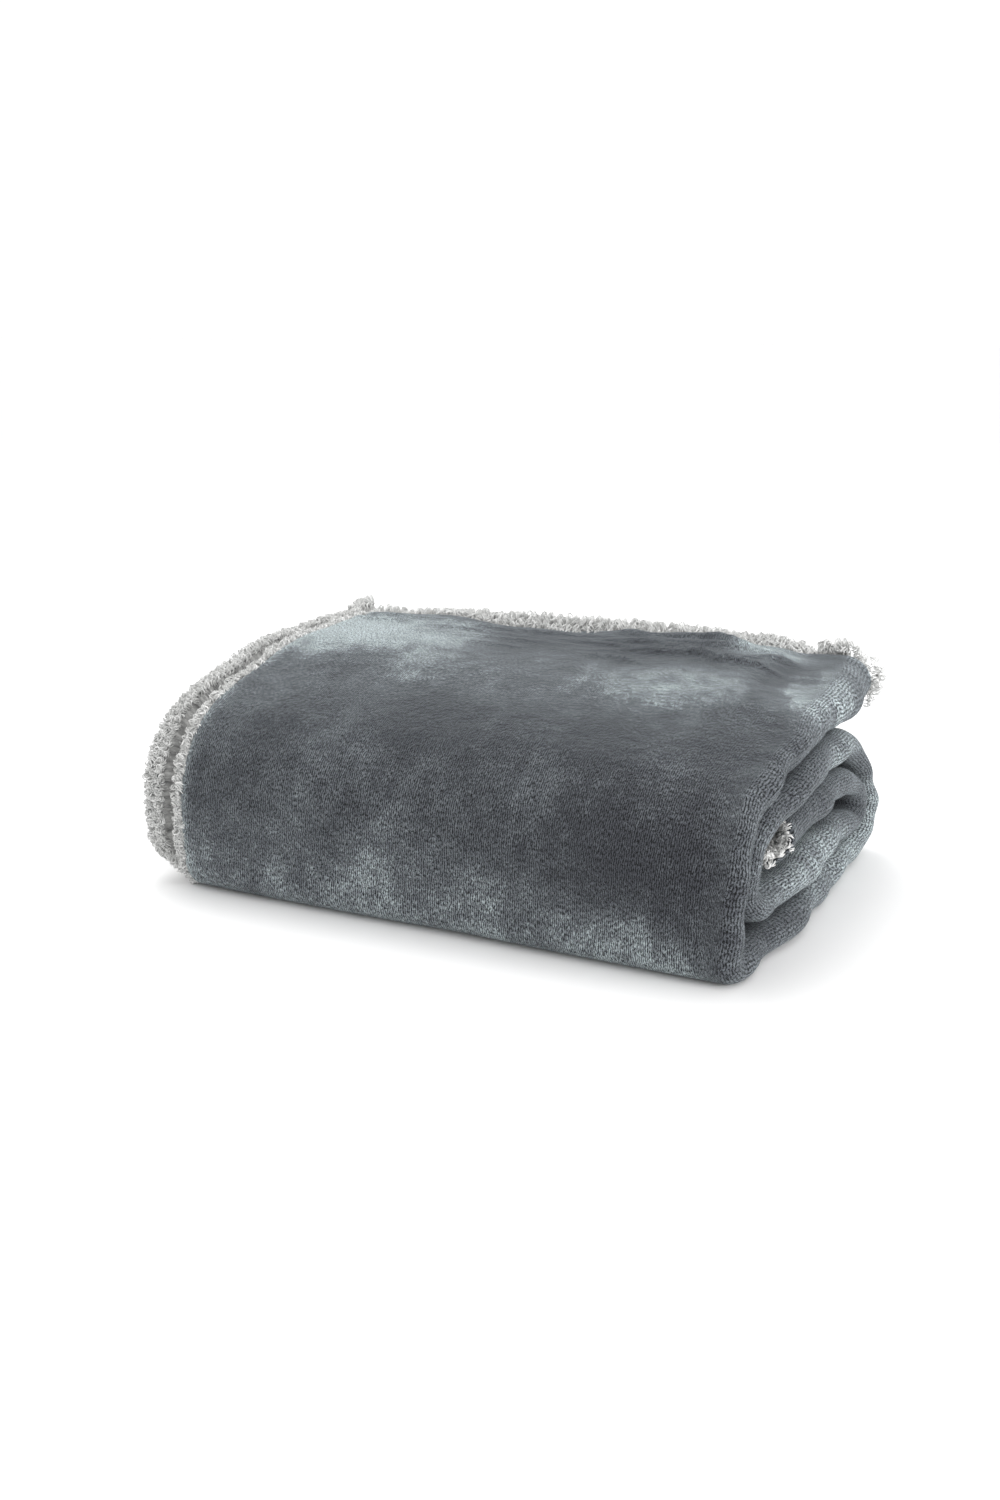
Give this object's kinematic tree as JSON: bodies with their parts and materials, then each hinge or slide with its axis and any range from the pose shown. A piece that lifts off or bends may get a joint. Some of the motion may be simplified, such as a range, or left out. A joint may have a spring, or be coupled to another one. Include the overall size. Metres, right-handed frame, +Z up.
{
  "type": "folded throw blanket",
  "caption": "Plush throw blanket with a pale sherpa backing, folded in three and rolled into a flat loaf.",
  "frame": {"origin": "centre of the bounding box, at the bottom of the loaf where it rests on the floor", "axes": "+X along the loaf towards its folded, smooth end; +Y from the rounded front to the back, where the free end of the cloth lies; +Z up"},
  "size_m": [0.456, 0.318, 0.1546],
  "materials": {
    "plush": "short brushed velour pile, soft sheen",
    "sherpa": "curly high pile, matt",
    "thread": "matt sewing thread",
    "label": "blank woven tape, matt"
  },
  "bodies": {
    "root": {"plush_face": "plush", "sherpa_backing": "sherpa", "seam_side_outside": "thread", "seam_side_inside": "thread", "seam_end_core": "thread", "seam_end_free": "thread", "care_label": "label"}
  },
  "joints": []
}
